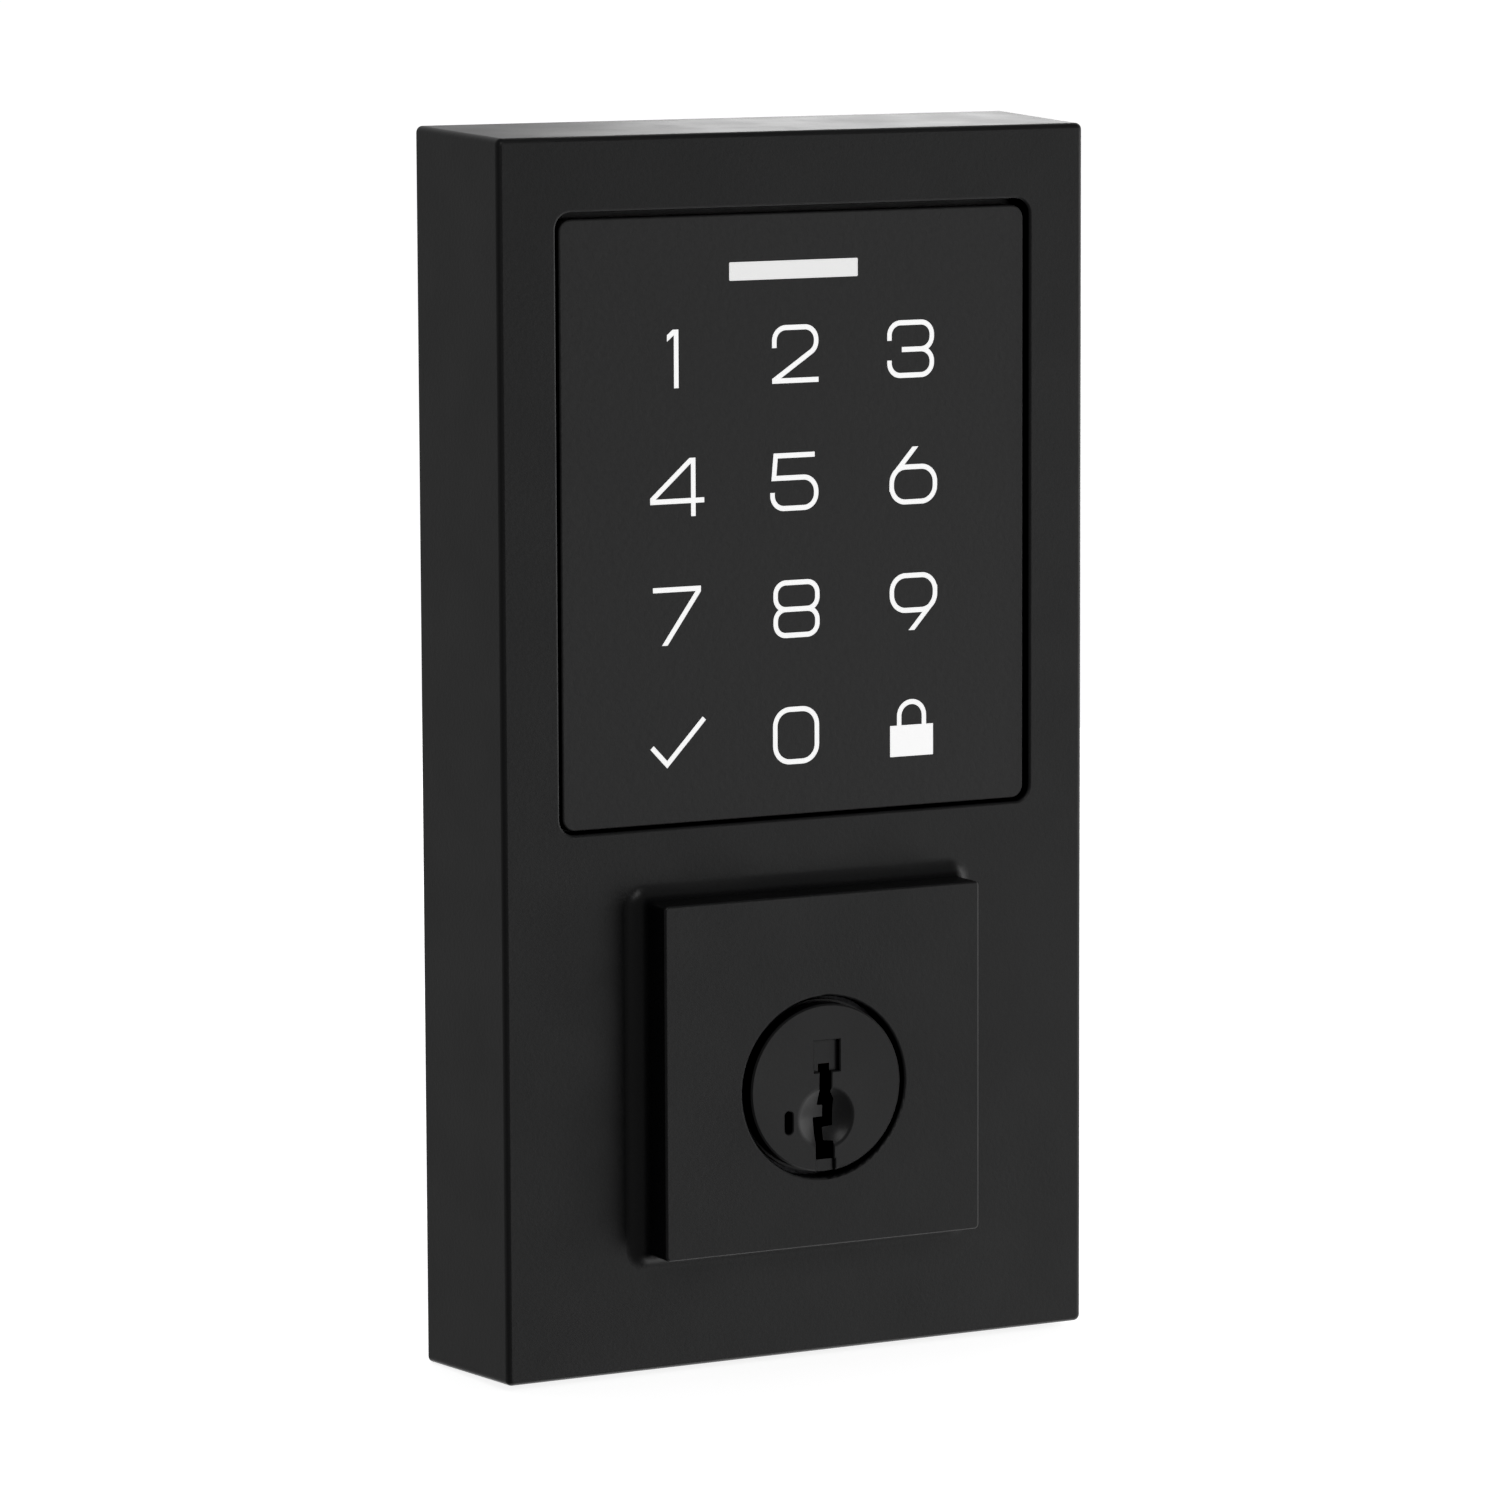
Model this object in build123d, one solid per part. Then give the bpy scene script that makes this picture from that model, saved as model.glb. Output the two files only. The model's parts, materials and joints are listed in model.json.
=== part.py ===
from build123d import *
import os

# Keypad smart lock, the unit that stands on the outside of a door. Millimetres.
# The origin is on the key cylinder's axis, in the plane of the door's face (y = 0).
# The front looks towards -Y, +Z is up, and +X is to the right for someone at the keypad.

# ---- driving dimensions -------------------------------------------------------------

# Housing
BASE_WIDTH = 70.0
BASE_BOTTOM = -30.0
BASE_TOP = 100.0
BODY_DEPTH = 17.7
DRAFT_INSET = 0.68          # how far each side leans in from the door to the front
CORNER_RADIUS = 0.7
FRONT_EDGE_RADIUS = 0.55
CAVITY_CORNER_RADIUS = 1.6
FRONT_WALL = 2.0
SIDE_WALL = 2.2

# Square boss round the key cylinder
BOSS_SIZE = 37.2
BOSS_CENTRE_Z = 1.8
BOSS_HEIGHT = 5.45
BOSS_CORNER_RADIUS = 0.5
BOSS_FOOT_RADIUS = 1.9
BOSS_EDGE_RADIUS = 0.25
BOSS_HOLE_RADIUS = 9.55
BOSS_HOLE_EDGE_RADIUS = 0.3
BOSS_LIP = 2.2
HOUSING_SCREW_BOSS_RADIUS = 2.6
CARRIER_SCREW_BOSS_RADIUS = 2.4

# Keypad window and what fills it
WINDOW_WIDTH = 55.6
WINDOW_HEIGHT = 63.9
WINDOW_CENTRE_Z = 59.64
WINDOW_CORNER = 1.7
WINDOW_EDGE_RADIUS = 0.3
PANEL_RECESS = 0.4
PANEL_WIDTH = 54.6
PANEL_HEIGHT = 62.9
PANEL_CENTRE_Z = 59.45
PANEL_CORNER = 1.4
PANEL_EDGE_RADIUS = 0.22
FLANGE_WIDTH = 59.4
FLANGE_HEIGHT = 67.3
FLANGE_THICKNESS = 1.15
GASKET_THICKNESS = 0.6
SENSOR_THICKNESS = 0.2
MASK_THICKNESS = 2.4
BOARD_THICKNESS = 1.6
LEGEND_DEPTH = 0.4

# Symbols on the keypad
STROKE = 0.53
GLYPH_HALF_WIDTH = 2.73
GLYPH_HALF_HEIGHT = 3.02
COLUMN_PITCH = 13.9
ROW_PITCH = 13.29
TOP_ROW_Z = 76.24
LIGHT_BAR_WIDTH = 15.1
LIGHT_BAR_HEIGHT = 1.9
LIGHT_BAR_X = -0.15
LIGHT_BAR_Z = 85.0

# Back plate, door gasket and fasteners
PLATE_THICKNESS = 1.2
DOOR_GASKET_THICKNESS = 1.0
DOOR_GASKET_WIDTH = 3.3
PLATE_MARGIN = 2.0          # from the base outline to the plate's edge
PLATE_CORNER = 1.1
PLATE_FIT = 0.1             # gap round the plate
BEAD_WIDTH = 3.4
BEAD_LENGTH = 44.0
BEAD_HEIGHT = 0.5
BEAD_X = 11.5
BEAD_Z = 62.0
PLATE_SCREW_RADIUS = 1.25
PLATE_SCREW_LENGTH = 7.0
PLATE_SCREW_HEAD_RADIUS = 2.4
CARRIER_SCREW_RADIUS = 1.0
CARRIER_SCREW_LENGTH = 7.0
CYLINDER_SCREW_RADIUS = 1.5
CYLINDER_SCREW_LENGTH = 6.0
SCREW_CLEARANCE = 0.05

# Mounting posts: screws from the inside of the door pull on these
POST_SPACING = 36.0
POST_RADIUS = 4.0
POST_REACH = 10.0
POST_HOLE_RADIUS = 1.65
POST_HOLE_DEPTH = 11.5
POST_FLANGE_RADIUS = 5.8
POST_FLANGE_THICKNESS = 1.4

# Cable outlet
OUTLET_Z = 19.5
OUTLET_WIDTH = 12.0
OUTLET_HEIGHT = 8.0
GROMMET_WALL = 1.2

# Key cylinder
PLUG_RADIUS = 8.85
PLUG_PROUD = 0.45           # the plug's face stands this far out of the boss
PLUG_RUNNING_GAP = 0.05
PLUG_CHAMFER = 0.18
PLUG_COLLAR_RADIUS = 9.1
PLUG_COLLAR_THICKNESS = 0.6
CYLINDER_FRONT_RADIUS = 13.5
CYLINDER_REAR_RADIUS = 11.5
CYLINDER_END = 4.0
CYLINDER_FLANGE = 34.0
CYLINDER_FLANGE_THICKNESS = 2.5
CYLINDER_SCREW_OFFSET = 12.6
STUB_RADIUS = 6.6
STUB_END = 9.0
CLIP_THICKNESS = 1.0
CAP_THICKNESS = 0.9

# Followers inside the plug
FOLLOWER_COUNT = 5
FIRST_FOLLOWER_Y = -17.6
FOLLOWER_PITCH = 3.8
FOLLOWER_LIFT = 1.8

# Tailpiece
TAILPIECE_END = 60.0
BLADE_WIDTH = 6.4
BLADE_THICKNESS = 2.0
HEAD_LENGTH = 10.4
HEAD_WIDTH = 2.4

# ---- derived places -----------------------------------------------------------------

BASE_HEIGHT = BASE_TOP - BASE_BOTTOM
BASE_CENTRE_Z = (BASE_TOP + BASE_BOTTOM) / 2
FRONT_Y = -BODY_DEPTH
BOSS_FRONT_Y = FRONT_Y - BOSS_HEIGHT
PLUG_FRONT_Y = BOSS_FRONT_Y - PLUG_PROUD
WALL_BACK_Y = FRONT_Y + FRONT_WALL
CAVITY_WIDTH = BASE_WIDTH - 2 * (DRAFT_INSET + SIDE_WALL)
CAVITY_HEIGHT = BASE_HEIGHT - 2 * (DRAFT_INSET + SIDE_WALL)

PANEL_FRONT_Y = FRONT_Y + PANEL_RECESS
FLANGE_FRONT_Y = WALL_BACK_Y + GASKET_THICKNESS
SENSOR_FRONT_Y = FLANGE_FRONT_Y + FLANGE_THICKNESS
MASK_FRONT_Y = SENSOR_FRONT_Y + SENSOR_THICKNESS
BOARD_FRONT_Y = MASK_FRONT_Y + MASK_THICKNESS
BOARD_BACK_Y = BOARD_FRONT_Y + BOARD_THICKNESS
TRAY_DEPTH = 4.4
TRAY_FLOOR = 1.6
TRAY_BACK_Y = BOARD_BACK_Y + TRAY_DEPTH + TRAY_FLOOR

PLATE_BACK_Y = -DOOR_GASKET_THICKNESS
PLATE_FRONT_Y = PLATE_BACK_Y - PLATE_THICKNESS
PLATE_WIDTH = BASE_WIDTH - 2 * PLATE_MARGIN
PLATE_HEIGHT = BASE_HEIGHT - 2 * PLATE_MARGIN

CARRIER_SCREWS = [(x, z) for x in (-29.4, 29.4) for z in (24.9, 94.4)]
LOW_PLATE_SCREWS = [(x, z) for x in (-26.8, 26.8) for z in (-21.5, 17.6)]
TOP_PLATE_SCREWS = [(-24.0, 88.0), (24.0, 88.0)]
PLATE_SCREWS = LOW_PLATE_SCREWS + TOP_PLATE_SCREWS
CYLINDER_SCREWS = [
    (x, z)
    for x in (-CYLINDER_SCREW_OFFSET, CYLINDER_SCREW_OFFSET)
    for z in (-CYLINDER_SCREW_OFFSET, CYLINDER_SCREW_OFFSET)
]

CYLINDER_FRONT_Y = BOSS_FRONT_Y + BOSS_LIP
BORE_RADIUS = PLUG_RADIUS + PLUG_RUNNING_GAP
FOLLOWER_YS = [FIRST_FOLLOWER_Y + FOLLOWER_PITCH * i for i in range(FOLLOWER_COUNT)]
KEY_COLUMNS = [-COLUMN_PITCH, 0.0, COLUMN_PITCH]
KEY_ROWS = [TOP_ROW_Z - ROW_PITCH * i for i in range(4)]

# Places inside the plug, measured from the key axis
CARRIER_FACE_X = -2.2
CARRIER_RADIUS = 8.75
CARRIER_Z = (-4.9, 6.4)
CARRIER_Y = (-20.7, 1.4)
CARRIER_GAP = 0.1
SIDEBAR_Z = 0.6
SIDEBAR_TIP_X = -8.6
SIDEBAR_TRAVEL = 0.9
SIDEBAR_SPRING_YS = (-19.5, 0.1)
SPRING_TOP_Z = 8.0
KEYWAY_END_Y = -1.0
CHAMBER_X = (-1.45, 1.35)
CHAMBER_HALF_LENGTH = 1.35
DRIVE_TOOTH_Z = (3.6, 4.2)
RACK_X = (-4.65, -2.75)
RACK_HALF_LENGTH = 1.15
RACK_TOOTH_PITCH = 1.0
RACK_TOP_TOOTH_Z = 4.4
DRILL_PIN_XS = (3.2, 5.2)
DRILL_PIN_RADIUS = 0.75
DRILL_PIN_LENGTH = 10.0
DRILL_PIN_Y = -20.0

# The plug's face. The keyway's outline runs clockwise from its top left corner
KEYWAY = [
    (-0.66, 2.5), (0.66, 2.5), (0.60, -0.5), (1.08, -1.3), (1.05, -4.15), (-0.15, -4.25),
    (-0.20, -5.6), (0.90, -5.7), (0.90, -7.6), (-1.17, -7.6), (-1.22, -3.15), (-0.05, -3.15),
    (-0.10, -1.9), (-0.78, -1.85),
]
DISH_CENTRE = (-0.05, -3.15)
DISH_RADIUS = 3.2
DISH_DEPTH = 0.85
DISH_RIM_RADIUS = 0.8
RECESS_CENTRE = (0.12, 3.35)
RECESS_SIZE = (3.0, 3.3)
RECESS_DEPTH = 0.6
FOOT_CENTRE = (-0.05, -8.6)
FOOT_SIZE = (2.2, 2.0)
FOOT_DEPTH = 0.45
TOOL_SLOT_CENTRE = (-4.4, -3.35)
TOOL_SLOT_SIZE = (0.9, 2.4)
FACE_BEVEL = 0.12

# ---- helpers ------------------------------------------------------------------------


def facing(y):
    """The plane parallel to the door at depth y. Its own axes are X and Z."""
    return Plane.XZ.offset(-y)


def prism(outline, y_front, y_back):
    """An outline drawn in X and Z, filled from one depth to another."""
    return extrude(facing(y_back) * outline, y_back - y_front)


def slab(width, height, y_front, y_back, x=0.0, z=0.0, corner=0.0):
    """A plate parallel to the door, with rounded corners if asked."""
    outline = RectangleRounded(width, height, corner) if corner else Rectangle(width, height)
    return prism(Pos(x, z) * outline, y_front, y_back)


def disc(radius, y_front, y_back, x=0.0, z=0.0):
    """A round bar along Y."""
    return prism(Pos(x, z) * Circle(radius), y_front, y_back)


def cone(front_radius, back_radius, y_front, y_back, x=0.0, z=0.0):
    """A cone along Y."""
    front = facing(y_front) * Pos(x, z) * Circle(front_radius)
    back = facing(y_back) * Pos(x, z) * Circle(back_radius)
    return loft([back, front])


def block(x_range, y_range, z_range):
    """A box between two corners."""
    size = [high - low for low, high in (x_range, y_range, z_range)]
    centre = [(high + low) / 2 for low, high in (x_range, y_range, z_range)]
    return Pos(*centre) * Box(*size)


def lead_in(outline, margin, y_front):
    """The cut that bevels a hole's edge: margin wider than the hole at its mouth."""
    mouth = offset(outline, amount=margin, kind=Kind.INTERSECTION)
    return loft([facing(y_front + margin) * outline, facing(y_front) * mouth], ruled=True)


def discs(places, radius, y_front, y_back):
    """The same round bar at each of several places."""
    return [disc(radius, y_front, y_back, x, z) for x, z in places]


def screw(x, z, seat_y, radius, length, head_radius, head_height):
    """A pan-head screw that points at the front, with a cross recess in its head."""
    shank = disc(radius, seat_y - length, seat_y, x, z)
    head = disc(head_radius, seat_y, seat_y + head_height, x, z)
    head = fillet(head.edges().group_by(Axis.Y)[-1], head_height * 0.45)
    return shank + head - cross_recess(x, z, seat_y + head_height, head_radius)


def cross_recess(x, z, top_y, head_radius):
    """A cross-shaped driver recess cut into a screw head."""
    arm = head_radius * 1.15
    depth = head_radius * 0.4
    width = head_radius * 0.3
    upright = slab(width, arm, top_y - depth, top_y + depth, x, z)
    level = slab(arm, width, top_y - depth, top_y + depth, x, z)
    return upright + level


def coil(mean_radius, wire_radius, length, turns):
    """A compression spring that stands on z = 0 and runs up Z."""
    rise = length - 2 * wire_radius
    path = Helix(pitch=rise / turns, height=rise, radius=mean_radius)
    section = Plane(origin=path @ 0, z_dir=path % 0) * Circle(wire_radius)
    return Pos(0, 0, wire_radius) * sweep(section, path=path, is_frenet=True)


# ---- housing ------------------------------------------------------------------------


def housing_shell():
    """The drafted outer block, with its front edges rounded."""
    back = facing(0) * Pos(0, BASE_CENTRE_Z) * RectangleRounded(BASE_WIDTH, BASE_HEIGHT, CORNER_RADIUS)
    front_outline = RectangleRounded(
        BASE_WIDTH - 2 * DRAFT_INSET, BASE_HEIGHT - 2 * DRAFT_INSET, CORNER_RADIUS
    )
    front = facing(FRONT_Y) * Pos(0, BASE_CENTRE_Z) * front_outline
    shell = loft([back, front], ruled=True)
    return fillet(shell.edges().group_by(Axis.Y)[0], FRONT_EDGE_RADIUS)


def cylinder_boss():
    """The square boss, which starts inside the front wall."""
    boss = slab(
        BOSS_SIZE, BOSS_SIZE, BOSS_FRONT_Y, WALL_BACK_Y, z=BOSS_CENTRE_Z, corner=BOSS_CORNER_RADIUS
    )
    return fillet(boss.edges().group_by(Axis.Y)[0], BOSS_EDGE_RADIUS)


def with_boss(body):
    """Adds the boss to the case and rounds the corner where it rises from the front face."""
    body = body + cylinder_boss()
    reach = BOSS_SIZE / 2 + 0.1
    foot = [
        edge
        for edge in body.edges()
        if abs(edge.center().Y - FRONT_Y) < 0.01
        and abs(edge.center().X) < reach
        and abs(edge.center().Z - BOSS_CENTRE_Z) < reach
    ]
    return fillet(foot, BOSS_FOOT_RADIUS)


def rounded_opening(body, cut, front_y, reach, radius):
    """Cuts an opening and rounds the edge that it leaves in the face at front_y."""
    body = body - cut
    middle = cut.center()
    rim = [
        edge
        for edge in body.edges()
        if abs(edge.center().Y - front_y) < 0.01
        and abs(edge.center().X - middle.X) < reach[0]
        and abs(edge.center().Z - middle.Z) < reach[1]
    ]
    return fillet(rim, radius)


def keypad_window():
    return slab(
        WINDOW_WIDTH, WINDOW_HEIGHT, FRONT_Y - 1, WALL_BACK_Y + 1, z=WINDOW_CENTRE_Z,
        corner=WINDOW_CORNER,
    )


def front_housing():
    """Die-cast case: walls, keypad window, cylinder boss and screw bosses."""
    body = with_boss(housing_shell())
    window_reach = (WINDOW_WIDTH / 2 + 0.1, WINDOW_HEIGHT / 2 + 0.1)
    body = rounded_opening(body, keypad_window(), FRONT_Y, window_reach, WINDOW_EDGE_RADIUS)
    hole = disc(BOSS_HOLE_RADIUS, BOSS_FRONT_Y - 1, CYLINDER_FRONT_Y)
    hole_reach = (BOSS_HOLE_RADIUS + 0.1, BOSS_HOLE_RADIUS + 0.1)
    body = rounded_opening(body, hole, BOSS_FRONT_Y, hole_reach, BOSS_HOLE_EDGE_RADIUS)
    body -= slab(
        CAVITY_WIDTH, CAVITY_HEIGHT, WALL_BACK_Y, 1.0, z=BASE_CENTRE_Z, corner=CAVITY_CORNER_RADIUS
    )
    body -= slab(
        PLATE_WIDTH + 2 * PLATE_FIT, PLATE_HEIGHT + 2 * PLATE_FIT, PLATE_FRONT_Y, 1.0,
        z=BASE_CENTRE_Z, corner=PLATE_CORNER + PLATE_FIT,
    )
    root_y = WALL_BACK_Y - 0.5
    body += discs(CARRIER_SCREWS, CARRIER_SCREW_BOSS_RADIUS, root_y, TRAY_BACK_Y - TRAY_FLOOR)
    body += discs(LOW_PLATE_SCREWS, HOUSING_SCREW_BOSS_RADIUS, root_y, PLATE_FRONT_Y)
    body -= keypad_window()
    body -= disc(CYLINDER_FRONT_RADIUS + SCREW_CLEARANCE, CYLINDER_FRONT_Y, WALL_BACK_Y)
    for x, z in CARRIER_SCREWS:
        body -= disc(CARRIER_SCREW_RADIUS + SCREW_CLEARANCE, WALL_BACK_Y + 1, 0, x, z)
    for x, z in LOW_PLATE_SCREWS:
        body -= disc(PLATE_SCREW_RADIUS + SCREW_CLEARANCE, WALL_BACK_Y + 4, 0, x, z)
    for x, z in CYLINDER_SCREWS:
        depth = CYLINDER_SCREW_LENGTH - CYLINDER_FLANGE_THICKNESS + 0.5
        body -= disc(CYLINDER_SCREW_RADIUS + SCREW_CLEARANCE, WALL_BACK_Y - depth, WALL_BACK_Y, x, z)
    return body


# ---- keypad -------------------------------------------------------------------------


def stroke(*points, radius=None):
    """A drawn line of the keypad's stroke width, with rounded turns if asked."""
    path = Polyline(*points) if radius is None else FilletPolyline(*points, radius=radius)
    return trace(path, line_width=STROKE)


def ring(width, height, radius, z=0.0):
    """A closed stroke round a rounded rectangle."""
    outer = RectangleRounded(width, height, radius)
    inner = RectangleRounded(width - 2 * STROKE, height - 2 * STROKE, radius - STROKE)
    return Pos(0, z) * (outer - inner)


def trimmed(symbol, left=-4.0, right=4.0):
    """Cuts a symbol's stroke ends off level with the line height, and at its sides."""
    window = Rectangle(right - left, 2 * GLYPH_HALF_HEIGHT)
    return symbol & (Pos((left + right) / 2, 0) * window)


SIDE = GLYPH_HALF_WIDTH - STROKE / 2
TOP = GLYPH_HALF_HEIGHT - STROKE / 2


def one():
    stem = stroke((0, 4), (0, -4))
    flag = stroke((-1.6, 1.70), (0, 3.0))
    return trimmed(stem + flag, left=-1.06)


def two():
    curve = stroke(
        (-SIDE, 0.68), (-SIDE, TOP), (SIDE, TOP), (SIDE, 0.54), (-2.9, -2.95),
        radius=[1.34, 1.34, 1.3],
    )
    foot = stroke((-3, -TOP), (GLYPH_HALF_WIDTH, -TOP))
    return trimmed(curve + foot, left=-GLYPH_HALF_WIDTH)


def three():
    side = SIDE + 0.07
    upper = stroke(
        (-side, 0.92), (-side, TOP), (side, TOP), (side, -0.05), (-1.06, -0.05), radius=1.3
    )
    lower = stroke(
        (-1.06, -0.05), (side, -0.05), (side, -TOP), (-side, -TOP), (-side, -1.15), radius=1.3
    )
    return upper + lower


def four():
    stem = stroke((1.9, 4), (1.9, -4))
    level = stroke((-3.1, -1.39), (3.17, -1.39))
    slope = stroke((-3.5, -1.69), (1.75, 2.92))
    return trimmed(stem + level + slope, left=-3.1)


def five():
    return stroke(
        (2.3, TOP), (-2.3, TOP), (-2.52, 0.42), (SIDE, 0.42), (SIDE, -TOP), (-2.69, -TOP),
        (-2.69, -1.07),
        radius=[0, 0, 1.5, 1.45, 1.35],
    )


def six():
    bowl = ring(5.72, 4.2, 1.9, z=-0.93)
    side = 5.72 / 2 - STROKE / 2
    tail = stroke((-side, -1.6), (-side, -0.13), (0.6, 3.41), radius=1.9)
    return trimmed(bowl + tail)


def seven():
    level = stroke((-2.84, TOP), (GLYPH_HALF_WIDTH, TOP))
    slope = stroke((2.75, 2.92), (-1.75, -3.36))
    return trimmed(level + slope, right=GLYPH_HALF_WIDTH)


def eight():
    upper = ring(2 * GLYPH_HALF_WIDTH, GLYPH_HALF_HEIGHT + 0.3, 1.45, z=(GLYPH_HALF_HEIGHT - 0.3) / 2)
    lower_height = GLYPH_HALF_HEIGHT + STROKE - 0.3
    lower = ring(2 * GLYPH_HALF_WIDTH, lower_height, 1.45, z=lower_height / 2 - GLYPH_HALF_HEIGHT)
    return upper + lower


def nine():
    return Rot(0, 0, 180) * six()


def zero():
    return ring(2 * GLYPH_HALF_WIDTH, 2 * GLYPH_HALF_HEIGHT, 2.0)


def tick():
    return stroke((-3.05, -0.27), (-1.3, -2.12), (3.05, 2.48))


def padlock():
    body = Pos(0, -1.4) * Rectangle(5.17, 3.3)
    shackle = stroke((-1.49, 0), (-1.49, 2.7), (1.49, 2.7), (1.49, 0), radius=1.48)
    return body + shackle


# Rows of the keypad from the top, each symbol with how far it sits off its column's middle
KEYPAD = [
    [(one, 0.0), (two, 0.0), (three, -0.2)],
    [(four, 0.0), (five, -0.05), (six, 0.1)],
    [(seven, 0.0), (eight, 0.05), (nine, 0.1)],
    [(tick, 0.0), (zero, -0.05), (padlock, -0.15)],
]


def keypad_legends():
    """The twelve white symbols, let into the panel's face."""
    inlays = []
    for row, z in zip(KEYPAD, KEY_ROWS):
        for (symbol, shift), x in zip(row, KEY_COLUMNS):
            outline = Pos(x + shift, z) * symbol()
            inlays.append(prism(outline, PANEL_FRONT_Y, PANEL_FRONT_Y + LEGEND_DEPTH))
    return Compound(children=[part for inlay in inlays for part in inlay.solids()])


def light_bar_block(y_front, y_back):
    return slab(
        LIGHT_BAR_WIDTH, LIGHT_BAR_HEIGHT, y_front, y_back, LIGHT_BAR_X, LIGHT_BAR_Z, corner=0.12
    )


def relieved(shape, y_front, y_back, radius=2.7):
    """Takes the corners off where the carrier's screw bosses stand."""
    for x, z in CARRIER_SCREWS:
        shape -= disc(radius, y_front, y_back, x, z)
    return shape


def touch_panel(legends):
    """The keypad cover: a tile that fills the window, on a wider flange behind it."""
    tile = slab(
        PANEL_WIDTH, PANEL_HEIGHT, PANEL_FRONT_Y, FLANGE_FRONT_Y, z=PANEL_CENTRE_Z, corner=PANEL_CORNER
    )
    tile = fillet(tile.edges().group_by(Axis.Y)[0], PANEL_EDGE_RADIUS)
    flange = slab(
        FLANGE_WIDTH, FLANGE_HEIGHT, FLANGE_FRONT_Y, SENSOR_FRONT_Y, z=WINDOW_CENTRE_Z, corner=1.0
    )
    flange = relieved(flange, FLANGE_FRONT_Y, SENSOR_FRONT_Y)
    return tile + flange - legends - light_bar_block(PANEL_FRONT_Y - 1, SENSOR_FRONT_Y)


def status_light_window():
    return light_bar_block(PANEL_FRONT_Y, SENSOR_FRONT_Y)


def panel_gasket():
    frame = slab(
        FLANGE_WIDTH, FLANGE_HEIGHT, WALL_BACK_Y, FLANGE_FRONT_Y, z=WINDOW_CENTRE_Z, corner=1.0
    )
    frame -= slab(
        WINDOW_WIDTH, WINDOW_HEIGHT, WALL_BACK_Y, FLANGE_FRONT_Y, z=WINDOW_CENTRE_Z,
        corner=WINDOW_CORNER,
    )
    return relieved(frame, WALL_BACK_Y, FLANGE_FRONT_Y)


def key_places():
    return [(x, z) for z in KEY_ROWS for x in KEY_COLUMNS]


def touch_sensor_sheet():
    """Sensor film with a clear hole behind each symbol."""
    sheet = slab(57.0, 65.0, SENSOR_FRONT_Y, MASK_FRONT_Y, z=WINDOW_CENTRE_Z, corner=1.0)
    for x, z in key_places():
        sheet -= slab(7.4, 7.4, SENSOR_FRONT_Y, MASK_FRONT_Y, x, z, corner=1.0)
    sheet -= slab(LIGHT_BAR_WIDTH + 1, 3.0, SENSOR_FRONT_Y, MASK_FRONT_Y, LIGHT_BAR_X, LIGHT_BAR_Z)
    return relieved(sheet, SENSOR_FRONT_Y, MASK_FRONT_Y)


def light_mask():
    """Grid whose walls keep each key's light to itself."""
    mask = slab(57.0, 65.0, MASK_FRONT_Y, BOARD_FRONT_Y, z=WINDOW_CENTRE_Z, corner=1.0)
    for x, z in key_places():
        mask -= slab(9.6, 9.6, MASK_FRONT_Y, BOARD_FRONT_Y, x, z, corner=1.2)
    mask -= slab(LIGHT_BAR_WIDTH + 2, 4.4, MASK_FRONT_Y, BOARD_FRONT_Y, LIGHT_BAR_X, LIGHT_BAR_Z)
    return relieved(mask, MASK_FRONT_Y, BOARD_FRONT_Y)


def keypad_board():
    board = slab(58.4, 66.6, BOARD_FRONT_Y, BOARD_BACK_Y, z=WINDOW_CENTRE_Z, corner=1.0)
    return relieved(board, BOARD_FRONT_Y, BOARD_BACK_Y)


def keypad_leds():
    """One chip behind each symbol and three behind the light bar."""
    places = key_places() + [(LIGHT_BAR_X + dx, LIGHT_BAR_Z) for dx in (-5.0, 0.0, 5.0)]
    chips = []
    for x, z in places:
        base = slab(3.0, 1.6, BOARD_FRONT_Y - 0.5, BOARD_FRONT_Y, x, z)
        dome = slab(2.0, 1.4, BOARD_FRONT_Y - 0.9, BOARD_FRONT_Y - 0.5, x, z, corner=0.3)
        chips.append(base + dome)
    return Compound(children=chips)


def controller_chip():
    body = slab(9.0, 9.0, BOARD_BACK_Y, BOARD_BACK_Y + 1.1, x=-12.0, z=66.0)
    legs = []
    for i in range(10):
        along = (i - 4.5) * 0.8
        legs.append(slab(10.6, 0.35, BOARD_BACK_Y, BOARD_BACK_Y + 0.3, x=-12.0, z=66.0 + along))
        legs.append(slab(0.35, 10.6, BOARD_BACK_Y, BOARD_BACK_Y + 0.3, x=-12.0 + along, z=66.0))
    return body + legs


def buzzer():
    can = disc(4.6, BOARD_BACK_Y, BOARD_BACK_Y + 3.0, 13.0, 68.0)
    can = chamfer(can.edges().group_by(Axis.Y)[-1], 0.4)
    return can - disc(0.9, BOARD_BACK_Y + 2.0, BOARD_BACK_Y + 4.0, 13.0, 68.0)


def board_connector():
    """Socket that takes the cable's plug from below."""
    shell = slab(14.0, 5.4, BOARD_BACK_Y, BOARD_BACK_Y + 4.0, z=34.0)
    shell -= slab(12.4, 4.4, BOARD_BACK_Y + 0.8, BOARD_BACK_Y + 3.2, z=33.0)
    pins = [
        slab(0.5, 3.6, BOARD_BACK_Y + 1.7, BOARD_BACK_Y + 2.2, x=(i - 3.5) * 1.5, z=33.6)
        for i in range(8)
    ]
    return shell + pins


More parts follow.
